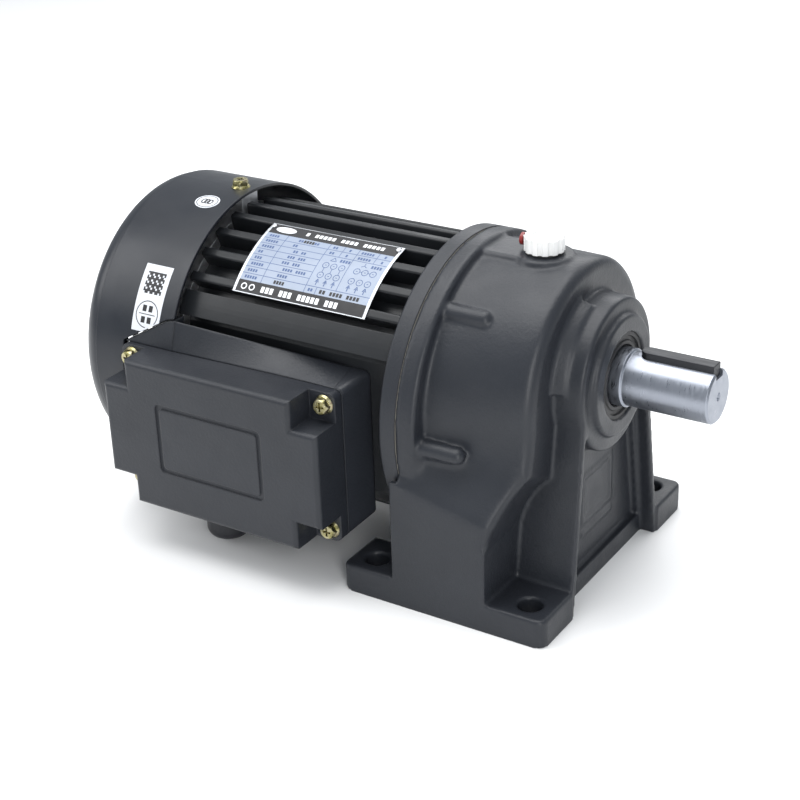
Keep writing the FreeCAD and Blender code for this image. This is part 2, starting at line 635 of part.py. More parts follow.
# ---------------------------------------------------------------- layshafts
def build_layshafts():
    core_a = turned([(-32.0, 5.5), (-31.5, 6), (-24.4, 6), (-24.4, 7.2), (-20.5, 7.2),
                     (-20.5, GEAR_1_BORE), (-10.0, GEAR_1_BORE),
                     (-10.0, 6.6), (4.0, 6.6), (4.0, 6), (12.0, 6), (12.5, 5.5)], SHAFT_A)
    export("shaft_a_pinion_shaft", join([core_a, PINION_2]))
    export("shaft_a_gear", GEAR_1.cut(tube(20.5, 12.5, GEAR_1_X[1] - 2, GEAR_1_X[1] + 1, SHAFT_A)))
    core_b = turned([(-32.0, 5.5), (-31.5, 6), (-24.4, 6), (-24.4, 8), (-8.5, 8), (-8.5, GEAR_2_BORE),
                     (2.5, GEAR_2_BORE),
                     (2.5, 8.4), (33.8, 8.4), (33.8, 6), (42.0, 6), (42.5, 5.5)], SHAFT_B)
    export("shaft_b_pinion_shaft", join([core_b, PINION_3]))
    wheel = GEAR_2.cut(tube(26.5, 14.5, GEAR_2_X[1] - 2.5, GEAR_2_X[1] + 1, SHAFT_B))
    export("shaft_b_gear", wheel.cut(tube(26.5, 14.5, GEAR_2_X[0] - 1, GEAR_2_X[0] + 2.5, SHAFT_B)))
    export_bearings("shaft_a", [(size, SHAFT_A) for size in SHAFT_A_BEARINGS], 8)
    export_bearings("shaft_b", [(size, SHAFT_B) for size in SHAFT_B_BEARINGS], 8)


# ---------------------------------------------------------------- motor
STACK_X = (-142.0, -76.0)
ROTOR_R = 34.6
STATOR_BORE_R = 35.0
SLOT_COUNT = 24
TIE_BOLT_R = 61.2
TIE_ANGLES = (45, 135, 225, 315)
SEAL_POCKET_X = (-36.0, -24.4)


def build_front_bracket():
    disc = turned([(BRACKET_X[0], FLANGE_R - 1.0), (BRACKET_X[0] + 1.0, FLANGE_R),
                   (BRACKET_X[1], FLANGE_R)])
    spigot = tube(FRAME_BORE_R, 52.5, -39.5, BRACKET_X[0] + 1)
    hub = turned([(-50.0, 26.0), (-36.0, 27.0), (-32.0, 30.0)])
    bosses = [rod(17.0, -36.0, -30.0, SHAFT_A), rod(17.0, -36.0, -30.0, SHAFT_B)]
    ribs = [spin(block(-44, -33, 24, 54, MOTOR_Z - 2, MOTOR_Z + 2), angle) for angle in (0, 45, 90, 135,
                                                                                         180)]
    bracket = join([disc, spigot, hub] + bosses + ribs)
    bracket = bracket.cut(rod(MOTOR_FRONT_BEARING[1], -51, MOTOR_FRONT_BEARING[3]))
    bracket = bracket.cut(rod(11.0, -60, -20)).cut(rod(15.0, SEAL_POCKET_X[0], -20))
    for centre in (SHAFT_A, SHAFT_B):
        bracket = bracket.cut(rod(14.0, -32.0, -20, centre))
    for angle in CASE_BOLT_ANGLES:
        spot = polar(CASE_BOLT_R, angle)
        bracket = bracket.cut(rod(2.8, -40, -20, spot)).cut(rod(4.6, -40, BRACKET_X[0] + 5.2, spot))
    for angle in TIE_ANGLES:
        bracket = bracket.cut(rod(2.5, -40, -26, polar(TIE_BOLT_R, angle)))
    export("motor_front_bracket", bracket.removeSplitter())
    seal = turned_ring([(-35.5, 15.0), (-29.5, 15.0), (-29.5, 13.6), (-34.3, 13.0), (-34.3, 10.4),
                        (-31.5, 8.56),
                        (-33.5, 8.56), (-35.5, 10.5)])
    export("motor_shaft_seal", seal)


def build_motor_shaft():
    core = turned([(-210.5, 5.5), (-210, 6), (-205.5, 6), (-205.5, 7), (-175.5, 7), (-175.5, 7.5),
                   (-163.5, 7.5), (-163.5, 11),
                   (-152, 11), (-152, 12), (-66, 12), (-66, 11), (-50.2, 11), (-50.2, 8.5), (-25.5, 8.5),
                   (-24.5, 5.2), (-20.5, 5.2)])
    groove = tube(8, 5.4, -204.4, -203.3)
    flat = block(-205.5, -182.5, -8, 8, MOTOR_Z + 5.8, MOTOR_Z + 10)
    export("motor_shaft", join([core, PINION_1]).cut(groove).cut(flat))


def build_rotor():
    bars = [rod(2.2, STACK_X[0] - 1, STACK_X[1] + 1, polar(29.5, 360 / 22 * k)) for k in range(22)]
    rings = [tube(33.6, 20.0, STACK_X[0] - 8, STACK_X[0]), tube(33.6, 20.0, STACK_X[1], STACK_X[1] + 8)]
    vanes = []
    for number in range(6):
        vane = block(STACK_X[1] + 7, STACK_X[1] + 13, 22, 32.5, MOTOR_Z - 1.2, MOTOR_Z + 1.2)
        vanes.append(spin(vane, 60 * number))
    export("rotor_cage", join(rings + bars + vanes))
    core = tube(ROTOR_R, 12.0, STACK_X[0], STACK_X[1])
    for number in range(22):
        core = core.cut(rod(2.2, STACK_X[0] - 1, STACK_X[1] + 1, polar(29.5, 360 / 22 * number)))
    export("rotor_core", core)


def build_stator():
    core = tube(FRAME_BORE_R, STATOR_BORE_R, STACK_X[0], STACK_X[1])
    coils = [tube(51.0, 38.5, STACK_X[0] - 17, STACK_X[0] - 1), tube(51.0, 38.5, STACK_X[1] + 1,
                                                                     STACK_X[1] + 17)]
    for number in range(SLOT_COUNT):
        angle = 360.0 / SLOT_COUNT * number
        slot = block(STACK_X[0] - 1, STACK_X[1] + 1, 38.0, 49.5, MOTOR_Z - 2.9, MOTOR_Z + 2.9)
        mouth = block(STACK_X[0] - 1, STACK_X[1] + 1, 33.0, 39.0, MOTOR_Z - 1, MOTOR_Z + 1)
        core = core.cut(spin(slot, angle)).cut(spin(mouth, angle))
        bar = block(STACK_X[0] - 2, STACK_X[1] + 2, 40.0, 49.0, MOTOR_Z - 2.6, MOTOR_Z + 2.6)
        coils.append(spin(bar, angle))
    export("stator_core", core)
    export("stator_windings", join(coils))


def build_stator_frame():
    frame = rod(FRAME_ROOT_R, FRAME_X[0], FRAME_X[1])
    fins = []
    for number in range(FIN_COUNT):
        fin = block(FRAME_X[0], FRAME_X[1], -FIN_TIP_R, -FRAME_ROOT_R + 2, MOTOR_Z - FIN_WIDTH / 2,
                    MOTOR_Z + FIN_WIDTH / 2)
        fin = round_edges(fin, 1.3,
                          lambda e: runs_along(e, X_AXIS) and e.BoundBox.YMax < -FIN_TIP_R + 0.1)
        fins.append(spin(fin, -(FIRST_FIN + FIN_PITCH * number)))
    ledge = prism_x([MOTOR, polar(95, 180 - 27.5), polar(95, 180 - 37.8)], FRAME_X[0], FRAME_X[1])
    ledge = ledge.common(rod(FIN_TIP_R, FRAME_X[0], FRAME_X[1]))
    pad = prism_x([MOTOR, polar(95, 180), polar(120, 180 + 32), polar(95, 180 + 57)], FRAME_X[0],
                  FRAME_X[1])
    pad = pad.common(rod(FRAME_PAD_R, FRAME_X[0], FRAME_X[1]))
    frame = join([frame, pad, ledge] + fins)
    frame = frame.cut(block(FRAME_X[0] - 1, FRAME_X[1] + 1, -90, FRAME_FLAT_Y, FRAME_FLAT_Z[0],
                            FRAME_FLAT_Z[1]))
    frame = frame.cut(rod(FRAME_BORE_R, -200, 0))
    for angle in TIE_ANGLES:
        frame = frame.cut(rod(2.7, -200, 0, polar(TIE_BOLT_R, angle)))
    frame = frame.cut(Part.makeCylinder(8.0, 40, V(-110, -50, 82), Y_AXIS * -1))
    for x in (-140, -80):
        frame = frame.cut(Part.makeCylinder(2.0, 6, V(x, -55.8, 82), Y_AXIS * -1))
    export("stator_frame", frame)


def build_rear_bracket():
    x0, x1 = REAR_BRACKET_X
    disc = rod(72.0, x0, x1)
    spigot = tube(FRAME_BORE_R, 52.5, x1 - 1, x1 + 5)
    hub = turned([(-177.0, 24.0), (-163.0, 23.0)])
    ears = [spin(block(x0, x1, 66, 81.9, MOTOR_Z - 7, MOTOR_Z + 7), angle) for angle in (0, 90, 270)]
    limit = rod(COVER_R - COVER_WALL, x0, x1)
    bracket = join([disc, spigot, hub] + [ear.common(limit) for ear in ears])
    bracket = bracket.cut(rod(MOTOR_REAR_BEARING[1], -176.2, -160)).cut(rod(9.0, -190, -160))
    for angle in TIE_ANGLES:
        bracket = bracket.cut(rod(2.7, -190, -150, polar(TIE_BOLT_R, angle)))
    for angle in (0, 90, 270):
        y, z = polar(85, angle)
        bracket = bracket.cut(Part.makeCylinder(2.0, 14, V(COVER_SCREW_X, y, z),
                                                V(0, MOTOR[0] - y, MOTOR[1] - z)))
    export("motor_rear_bracket", bracket.removeSplitter())
    export("wave_washer", tube(17.3, 12.5, -176.1, -175.0))
    bolts = []
    for angle in TIE_ANGLES:
        y, z = polar(TIE_BOLT_R, angle)
        head = join([hex_prism(8, 0, 3.6), Part.makeCylinder(2.5, 149.5, V(0, 0, -149.4))])
        bolts.append(placed(head, V(x0, y, z), X_AXIS * -1))
    export("motor_tie_bolts", group(bolts))
    export_bearings("motor", ((MOTOR_FRONT_BEARING, MOTOR), (MOTOR_REAR_BEARING, MOTOR)), 8)


FAN_X = (-203.0, -183.0)


def build_fan():
    hub = rod(13.0, FAN_X[0], FAN_X[1])
    plate = turned_ring([(-185.5, 12.0), (-183.5, 12.0), (-187.0, 64.0), (-189.0, 64.0)])
    blades = []
    for number in range(8):
        blade = block(FAN_X[0] + 2, -184.0, 12.0, 66.0, MOTOR_Z - 1, MOTOR_Z + 1)
        blade = blade.cut(prism_x([(12, MOTOR_Z + 5), (12, MOTOR_Z + 4)] + [(30, MOTOR_Z + 4)], -200,
                                  -190))
        blades.append(spin(blade, 45 * number))
    fan = join([hub, plate] + blades).cut(rod(7.0, -220, -150))
    key_flat = block(FAN_X[0], FAN_X[1], -6, 6, MOTOR_Z + 5.8, MOTOR_Z + 9).common(rod(7.0, FAN_X[0],
                                                                                       FAN_X[1]))
    export("cooling_fan", join([fan, key_flat]))
    clip = tube(9.0, 5.5, -204.3, -203.4).cut(block(-206, -202, -2.5, 2.5, MOTOR_Z, MOTOR_Z + 12))
    export("fan_circlip", clip)


# ---------------------------------------------------------------- fan cover
def cover_profile(offset):
    """Outer line of the cover from its open front to the flat rear, moved inwards by offset."""
    radius = COVER_R - offset
    rear = COVER_REAR_X + offset
    turn_r = 13.0 - offset
    corner = V(rear + turn_r, 0, MOTOR_Z + radius - turn_r - 0.8)
    edges = [Part.makeLine(V(COVER_FRONT_X, 0, MOTOR_Z + radius), V(COVER_CREASE_X, 0, MOTOR_Z + radius))]
    edges.append(Part.makeLine(V(COVER_CREASE_X, 0, MOTOR_Z + radius),
                               V(COVER_CREASE_X - 0.4, 0, MOTOR_Z + radius - 0.8)))
    start = V(COVER_CREASE_X - 0.4, 0, MOTOR_Z + radius - 0.8)
    half = turn_r * math.sqrt(0.5)
    middle = V(corner.x - half, 0, corner.z + half)
    end = V(rear, 0, corner.z)
    edges.append(Part.Arc(start, middle, end).toShape())
    edges.append(Part.makeLine(end, V(rear, 0, MOTOR_Z)))
    edges.append(Part.makeLine(V(rear, 0, MOTOR_Z), V(COVER_FRONT_X, 0, MOTOR_Z)))
    edges.append(Part.makeLine(V(COVER_FRONT_X, 0, MOTOR_Z), V(COVER_FRONT_X, 0, MOTOR_Z + radius)))
    return Part.Face(Part.Wire(edges)).revolve(V(0, 0, MOTOR_Z), X_AXIS, 360)


def grille_openings():
    """Rings of air slots in the rear wall, broken by six spokes."""
    rings = []
    for number in range(6):
        inner = 13.0 + 8.6 * number
        rings.append(tube(inner + 5.2, inner, COVER_REAR_X - 3, COVER_REAR_X + 6))
    spokes = []
    for number in range(3):
        bar = block(COVER_REAR_X - 4, COVER_REAR_X + 7, -80, 80, MOTOR_Z - 2.6, MOTOR_Z + 2.6)
        spokes.append(spin(bar, 30 + 60 * number))
    return group(rings).cut(join(spokes))


def box_notch():
    """Cut-out in the cover where the terminal box reaches back over it."""
    clear = 0.6
    return prism_y([(COVER_FRONT_X + 2, BOX_Z[0] - clear), (BOX_X[0] - clear, BOX_Z[0] - clear),
                    (BOX_X[0] - clear, BOX_Z[1] + clear), (-168.0, 128.5), (COVER_FRONT_X + 2,
                                                                            130.0)], -90, -40)


def build_fan_cover():
    cover = cover_profile(0).cut(cover_profile(COVER_WALL))
    cover = cover.cut(rod(COVER_R - COVER_WALL, COVER_FRONT_X - 5, COVER_FRONT_X + 1))
    cover = cover.cut(grille_openings()).cut(box_notch())
    screws = []
    for angle in (0, 90, 270):
        y, z = polar(COVER_R, angle)
        outward = V(0, math.cos(math.radians(angle)), math.sin(math.radians(angle)))
        cover = cover.cut(Part.makeCylinder(2.2, 10, V(COVER_SCREW_X, y, z) - outward * 5, outward))
        screws.append(placed(flange_screw(2.0, 9.5, 8.0), V(COVER_SCREW_X, y, z), outward))
    export("fan_cover", cover)
    export("fan_cover_screws", group(screws))


# ---------------------------------------------------------------- terminal box
def box_plan(x0, x1, z0, z1, y0, y1, radius):
    """Plate with rounded corners, standing in the X-Z plane."""
    plate = block(x0, x1, y0, y1, z0, z1)
    return round_edges(plate, radius, lambda e: runs_along(e, Y_AXIS))


def corner_notches(y0, y1):
    """Square recesses at the four corners of the box lid."""
    notches = []
    for x0, x1 in ((BOX_X[0] - 5, BOX_X[0] + BOX_NOTCH), (BOX_X[1] - BOX_NOTCH, BOX_X[1] + 5)):
        for z0, z1 in ((BOX_Z[0] - 5, BOX_Z[0] + BOX_NOTCH), (BOX_Z[1] - BOX_NOTCH, BOX_Z[1] + 5)):
            notches.append(block(x0, x1, y0, y1, z0, z1))
    return notches


def box_screw_places():
    inset = BOX_SCREW_INSET
    return [(x, z) for x in (BOX_X[0] + inset, BOX_X[1] - inset) for z in (BOX_Z[0] + inset,
                                                                           BOX_Z[1] - inset)]


LID_EAR_T = 6.0


def rectangle_y(y, x0, x1, z0, z1):
    """Closed rectangle in the X-Z plane at y."""
    return Part.makePolygon([V(x0, y, z0), V(x1, y, z0), V(x1, y, z1), V(x0, y, z1), V(x0, y, z0)])


def polygon_x(x, points):
    """Closed polygon in the Y-Z plane at x."""
    return Part.makePolygon([V(x, y, z) for y, z in list(points) + [points[0]]])


def terminal_box_base():
    """Open base between the lid and the flat of the motor frame, with a shoulder over the fan cover."""
    front_y = BOX_JOINT_Y + 0.6
    back_y = FRAME_FLAT_Y - 0.1
    lip = box_plan(BOX_X[0], BOX_X[1], BOX_Z[0], BOX_Z[1], front_y, front_y + 2.0, 4.0)
    body = loft([rectangle_y(front_y + 1.0, BOX_X[0], BOX_X[1], BOX_Z[0], BOX_Z[1]),
                 rectangle_y(back_y, *BOX_BACK)])
    body = round_edges(body, 3.5, lambda e: e.BoundBox.YLength > 10)
    wedge = prism_y([(BOX_X[0], 109), (BOX_X[0], BOX_Z[1]), (-168.3, 127.4), (-163.0, 128.6),
                     (-163.0, 109)],
                    -90, -62).common(tube(COVER_R - 0.8, FIN_TIP_R + 0.3, BOX_X[0] - 1, -160))
    high = [(front_y + 0.1, 112.0), (-80.8, 113.2), (-75.6, 128.4), (-68.0, 110.0)]
    low = [(front_y + 0.1, 112.0), (front_y, 113.0), (-60.2, 117.4), (-60.0, 110.0)]
    blend = loft([polygon_x(-163.1, high), polygon_x(BOX_X[1] - 5, low)])
    over_lid = block(BOX_X[0] - 5, BOX_X[1], -95, front_y, 100, BOX_Z[1] + 0.1)
    heel = block(-160, -124, back_y - 1, -52.0, 33.0, 50.0).cut(rod(FRAME_PAD_R + 0.2, -165, -120))
    seat = Part.makeCylinder(13.5, 8, V(GLAND_X, GLAND_Y, BOX_Z[0])).cut(block(-170, -120, -90, front_y,
                                                                               20, 40))
    base = join([lip, body, wedge.cut(over_lid), blend.cut(over_lid), heel, seat])
    base = base.cut(rod(FRAME_PAD_R, BOX_X[0] - 5, FRAME_X[0] + 1))
    wall = BOX_WALL
    base = base.cut(block(-160, BOX_X[1] - BOX_NOTCH, -79, -75.0, BOX_Z[0] + wall, BOX_Z[1] - wall))
    base = base.cut(block(-159.5, -62, -79, -63.0, 92, 110))
    base = base.cut(block(-159.5, -62, -79, -63.0, 38.5, 58))
    base = base.cut(block(-157, -131, -79, -55.5, BOX_Z[0] + wall, 42))
    base = base.cut(Part.makeCylinder(8.0, 40, V(-110, -50, 82), Y_AXIS * -1))
    return base.cut(Part.makeCylinder(8.1, 12, V(GLAND_X, GLAND_Y, BOX_Z[0] - 2)))


def build_terminal_box():
    lid = box_plan(BOX_X[0], BOX_X[1], BOX_Z[0], BOX_Z[1], BOX_FRONT_Y, BOX_JOINT_Y, 4.0)
    lid = lid.cut(join(corner_notches(BOX_FRONT_Y - 5, BOX_JOINT_Y - LID_EAR_T)))
    lid = round_edges(lid, 2.5, lambda e: e.BoundBox.YMax < BOX_FRONT_Y + 0.01)
    wall = BOX_WALL
    hollow = block(BOX_X[0] + BOX_NOTCH + wall, BOX_X[1] - BOX_NOTCH - wall, BOX_FRONT_Y + wall,
                   BOX_JOINT_Y + 1,
                   BOX_Z[0] + wall, BOX_Z[1] - wall)
    hollow_wide = block(BOX_X[0] + wall, BOX_X[1] - wall, BOX_FRONT_Y + wall, BOX_JOINT_Y + 1,
                        BOX_Z[0] + BOX_NOTCH + wall, BOX_Z[1] - BOX_NOTCH - wall)
    lid = lid.cut(join([hollow, hollow_wide]))
    mark = box_plan(-160.0, -92.0, 52.0, 92.0, BOX_FRONT_Y - 0.0, BOX_FRONT_Y + 1, 3.0)
    mark = mark.cut(box_plan(-157.5, -94.5, 54.5, 89.5, BOX_FRONT_Y - 1, BOX_FRONT_Y + 2, 2.0))
    lid = lid.cut(mark)
    base = terminal_box_base()
    gasket = box_plan(BOX_X[0] + 0.5, BOX_X[1] - 0.5, BOX_Z[0] + 0.5, BOX_Z[1] - 0.5, BOX_JOINT_Y,
                      BOX_JOINT_Y + 0.6, 3.5)
    gasket = gasket.cut(block(BOX_X[0] + BOX_NOTCH, BOX_X[1] - BOX_NOTCH, -80, -70, BOX_Z[0] + wall,
                              BOX_Z[1] - wall))
    screws = []
    for x, z in box_screw_places():
        hole = Part.makeCylinder(2.0, 12, V(x, BOX_JOINT_Y - LID_EAR_T - 1, z), Y_AXIS)
        lid = lid.cut(hole)
        gasket = gasket.cut(hole)
        base = base.cut(hole)
        screws.append(placed(flange_screw(2.0, 9.2, 8.0), V(x, BOX_JOINT_Y - LID_EAR_T, z), Y_AXIS * -1))
    fixing = []
    for x in (-140, -80):
        base = base.cut(Part.makeCylinder(2.2, 22, V(x, -58.0, 82), Y_AXIS * -1))
        fixing.append(placed(socket_screw(2.0, 18.5, 3.5, 2.0), V(x, -75.0, 82), Y_AXIS * -1))
    export("terminal_box_lid", lid)
    export("terminal_box_gasket", gasket)
    export("terminal_box_base", base)
    export("terminal_box_lid_screws", group(screws))
    export("box_fixing_screws", group(fixing))
    build_terminal_block()
    build_gland()


def build_terminal_block():
    board = block(-128.0, -92.0, -83.0, -75.0, 62.0, 76.0)
    studs = []
    for column_x in (-122.0, -110.0, -98.0):
        for z in (65.5, 72.5):
            board = board.cut(Part.makeCylinder(1.5, 6, V(column_x, -84, z), Y_AXIS))
            studs.append(join([placed(hex_prism(5, 0, 2.2), V(column_x, -83.0, z), Y_AXIS * -1),
                               Part.makeCylinder(1.5, 12, V(column_x, -90, z), Y_AXIS)]))
    export("terminal_block", board)
    export("terminal_studs", group(studs))


def build_gland():
    """Cable gland pointing down from the box, with its lock nut and rubber seal."""
    seat = V(GLAND_X, GLAND_Y, BOX_Z[0])
    body = join([placed(hex_prism(22, 0, 5.5), seat, Z_AXIS * -1), Part.makeCylinder(8.0, 7.5, seat),
                 Part.makeCylinder(9.5, 8.5, seat, Z_AXIS * -1)])
    cap_top = seat - V(0, 0, 5.9)
    dome = Part.makeCylinder(12.2, 20.3, cap_top, Z_AXIS * -1)
    dome = round_edges(dome, 5.5, lambda e: e.BoundBox.ZMax < cap_top.z - 19)
    dome = dome.cut(Part.makeCylinder(9.6, 15.5, cap_top + V(0, 0, 0.5), Z_AXIS * -1))
    bore = Part.makeCylinder(5.0, 60, seat + V(0, 0, 20), Z_AXIS * -1)
    export("cable_gland_body", body.cut(bore))
    export("cable_gland_nut", dome.cut(bore))
    rubber = Part.makeCylinder(9.4, 12.2, cap_top - V(0, 0, 2.7), Z_AXIS * -1)
    export("cable_gland_seal", rubber.cut(bore))
    nut = placed(hex_prism(20, 0, 3.5), seat + V(0, 0, BOX_WALL), Z_AXIS)
    export("cable_gland_lock_nut", nut.cut(Part.makeCylinder(8.05, 30, seat - V(0, 0, 5))))


# ---------------------------------------------------------------- plates and labels
def curved_plate(inner_r, thickness, x0, x1, angle_low, angle_high):
    """Sheet bent round the motor axis; angles are measured up from the -Y side."""
    middle = 0.5 * (angle_low + angle_high)
    wedge = [MOTOR, polar(120, 180 - angle_low), polar(140, 180 - middle), polar(120, 180 - angle_high)]
    return tube(inner_r + thickness, inner_r, x0, x1).common(prism_x(wedge, x0, x1))


def oval_plate(inner_r, thickness, x, degrees, half_length, half_width):
    """Oval label on the fan cover, centred at x and at an angle up from the -Y side."""
    outward = V(0, -math.cos(math.radians(degrees)), math.sin(math.radians(degrees)))
    outline = Part.Wire(Part.Ellipse(V(0, 0, 0), half_length, half_width).toShape())
    stamp = Part.Face(outline).extrude(V(0, 0, 40))
    stamp = placed(stamp, V(x, 0, MOTOR_Z) + outward * (inner_r - 20), outward)
    return tube(inner_r + thickness, inner_r, x - 20, x + 20).common(stamp)


def build_plates():
    export("nameplate", curved_plate(FIN_TIP_R + 0.05, 0.6, -137.6, -55.2, 41.0, 76.5))
    rivets = []
    for x in (-135.4, -57.4):
        y, z = polar(FIN_TIP_R + 0.68, 180 - 74.3)
        outward = V(0, y, z - MOTOR_Z)
        rivets.append(Part.makeCylinder(1.3, 0.7, V(x, y, z), outward))
    export("nameplate_rivets", group(rivets))
    label = curved_plate(COVER_R, 0.15, -190.5, -172.5, 18.0, 43.0)
    export("inspection_label", label.cut(box_notch()))
    export("approval_label", oval_plate(COVER_R, 0.15, -179.0, 75.0, 7.5, 6.0))


os.makedirs("parts", exist_ok=True)
build_gear_case()
build_plate()
build_oil_fittings()
build_output_shaft()
build_layshafts()
build_front_bracket()
build_motor_shaft()
build_rotor()
build_stator()
build_stator_frame()
build_rear_bracket()
build_fan()
build_fan_cover()
build_terminal_box()
build_plates()
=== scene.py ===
import bpy
import json
import math
from mathutils import Matrix, Vector

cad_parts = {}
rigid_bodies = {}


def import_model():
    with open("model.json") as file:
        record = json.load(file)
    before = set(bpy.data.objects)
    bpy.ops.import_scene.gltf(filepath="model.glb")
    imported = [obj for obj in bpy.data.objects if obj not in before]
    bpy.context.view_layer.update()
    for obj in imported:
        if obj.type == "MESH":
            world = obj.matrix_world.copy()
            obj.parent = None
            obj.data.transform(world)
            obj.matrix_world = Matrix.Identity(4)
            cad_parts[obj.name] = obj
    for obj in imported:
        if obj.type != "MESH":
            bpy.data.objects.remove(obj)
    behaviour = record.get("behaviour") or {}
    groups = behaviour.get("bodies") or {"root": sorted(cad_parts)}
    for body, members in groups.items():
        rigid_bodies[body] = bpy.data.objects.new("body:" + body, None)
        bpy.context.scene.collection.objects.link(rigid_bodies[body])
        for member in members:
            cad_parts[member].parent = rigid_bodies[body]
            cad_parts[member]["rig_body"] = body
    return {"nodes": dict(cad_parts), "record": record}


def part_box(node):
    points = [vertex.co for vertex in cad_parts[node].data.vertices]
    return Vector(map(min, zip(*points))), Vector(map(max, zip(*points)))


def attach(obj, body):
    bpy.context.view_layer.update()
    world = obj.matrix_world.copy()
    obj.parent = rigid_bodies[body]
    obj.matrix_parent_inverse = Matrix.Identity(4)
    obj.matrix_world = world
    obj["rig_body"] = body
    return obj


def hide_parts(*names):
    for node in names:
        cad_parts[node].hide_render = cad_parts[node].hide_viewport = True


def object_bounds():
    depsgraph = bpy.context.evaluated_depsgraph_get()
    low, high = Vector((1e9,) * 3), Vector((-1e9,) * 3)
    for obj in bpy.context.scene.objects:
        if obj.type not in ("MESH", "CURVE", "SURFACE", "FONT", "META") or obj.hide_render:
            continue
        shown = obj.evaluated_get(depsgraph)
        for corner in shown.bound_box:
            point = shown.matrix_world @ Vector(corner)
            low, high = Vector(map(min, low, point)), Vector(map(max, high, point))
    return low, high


# Foot-mounted gear motor.  Metres, +X out along the output shaft, +Z up, terminal box on -Y.

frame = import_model()
cad_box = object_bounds()
nodes = frame["nodes"]

MM = 0.001


# ---------------------------------------------------------------- places taken from the frame
def middle(node):
    low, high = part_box(node)
    return (low + high) / 2


MOTOR_AXIS = middle("rotor_core")
PLATE_X = -137.6 * MM       # nameplate: rear end, radius round the motor axis, angle of its lower edge
PLATE_R = 76.65 * MM
PLATE_ANGLE = 41.0
LABEL_X = -190.5 * MM       # inspection label on the fan cover, in the same way
LABEL_R = 84.15 * MM
LABEL_ANGLE = 18.0
OVAL_X = -179.0 * MM        # middle of the oval label above it
OVAL_ANGLE = 75.0


# ---------------------------------------------------------------- material tools
NOISE_LOW = 0.3             # a noise factor stays mostly between these two
NOISE_HIGH = 0.7
BEVEL_SAMPLES = 6


def new_material(name):
    material = bpy.data.materials.new(name)
    material.use_nodes = True
    tree = material.node_tree
    shader = tree.nodes["Principled BSDF"]
    return material, tree, shader


def link(tree, source, output, target, socket):
    tree.links.new(source.outputs[output], target.inputs[socket])


def coordinates(tree, stretch=(1, 1, 1)):
    """Object coordinates, stretched per axis."""
    place = tree.nodes.new("ShaderNodeTexCoord")
    mapping = tree.nodes.new("ShaderNodeMapping")
    mapping.inputs["Scale"].default_value = stretch
    link(tree, place, "Object", mapping, "Vector")
    return mapping


def noise(tree, scale, detail=3.0, stretch=(1, 1, 1), roughness=0.5):
    node = tree.nodes.new("ShaderNodeTexNoise")
    node.inputs["Scale"].default_value = scale
    node.inputs["Detail"].default_value = detail
    node.inputs["Roughness"].default_value = roughness
    link(tree, coordinates(tree, stretch), "Vector", node, "Vector")
    return node


def set_colour(tree, shader, source, stops):
    """Base colour from a ramp of (position, colour) stops, driven by a noise factor."""
    node = tree.nodes.new("ShaderNodeValToRGB")
    elements = node.color_ramp.elements
    elements[0].position, elements[0].color = stops[0][0], (*stops[0][1], 1)
    elements[1].position, elements[1].color = stops[-1][0], (*stops[-1][1], 1)
    for position, colour in stops[1:-1]:
        element = elements.new(position)
        element.color = (*colour, 1)
    link(tree, source, "Fac", node, "Fac")
    link(tree, node, "Color", shader, "Base Color")


def set_roughness(tree, shader, source, low, high):
    """Roughness from low to high over the usual range of a noise factor."""
    node = tree.nodes.new("ShaderNodeMapRange")
    node.inputs["From Min"].default_value = NOISE_LOW
    node.inputs["From Max"].default_value = NOISE_HIGH
    node.inputs["To Min"].default_value = low
    node.inputs["To Max"].default_value = high
    link(tree, source, "Fac", node, "Value")
    link(tree, node, "Result", shader, "Roughness")


def set_relief(tree, shader, edge, layers):
    """Edges rounded to the radius edge, under a stack of bumps (noise, height in metres)."""
    last = tree.nodes.new("ShaderNodeBevel")
    last.samples = BEVEL_SAMPLES
    last.inputs["Radius"].default_value = edge
    for source, height in layers:
        bump = tree.nodes.new("ShaderNodeBump")
        bump.inputs["Strength"].default_value = 1.0
        bump.inputs["Distance"].default_value = height
        link(tree, source, "Fac", bump, "Height")
        link(tree, last, "Normal", bump, "Normal")
        last = bump
    link(tree, last, "Normal", shader, "Normal")


def shade(colour, factor):
    return tuple(min(1.0, channel * factor) for channel in colour)


def mottle(colour, spread):
    """Ramp stops from a darker to a lighter shade of colour."""
    return [(NOISE_LOW, shade(colour, 1 - spread)), (NOISE_HIGH, shade(colour, 1 + spread))]


PAINT_GLOSS = 0.30          # specular level under the clear coat
PAINT_COAT_ROUGHNESS = 0.28
PAINT_WAVES = 0.00012       # height of the broad waves in the paint film


def paint(name, colour, rough, grain_scale, grain_height, edge=0.0012, coat=0.08):
    """Sprayed paint: slow colour drift, orange peel or cast skin, and a thin clear gloss."""
    material, tree, shader = new_material(name)
    set_colour(tree, shader, noise(tree, 22, 4),
               [(0.3, shade(colour, 0.9)), (0.55, colour), (0.75, shade(colour, 1.1))])
    set_roughness(tree, shader, noise(tree, 60, 3), rough - 0.05, rough + 0.07)
    shader.inputs["Specular IOR Level"].default_value = PAINT_GLOSS
    shader.inputs["Coat Weight"].default_value = coat
    shader.inputs["Coat Roughness"].default_value = PAINT_COAT_ROUGHNESS
    fine = noise(tree, grain_scale, 4, roughness=0.6)
    broad = noise(tree, 90, 2)
    set_relief(tree, shader, edge, [(broad, PAINT_WAVES), (fine, grain_height)])
    return material


def metal(name, colour, rough, stretch=(1, 1, 1), scale=300, height=0.00002, spread=0.12):
    """Bare metal with tool marks stretched along one direction."""
    material, tree, shader = new_material(name)
    marks = noise(tree, scale, 4, stretch)
    set_colour(tree, shader, marks, mottle(colour, spread))
    shader.inputs["Metallic"].default_value = 1.0
    set_roughness(tree, shader, marks, rough * 0.75, rough * 1.3)
    set_relief(tree, shader, 0.0004, [(marks, height)])
    return material


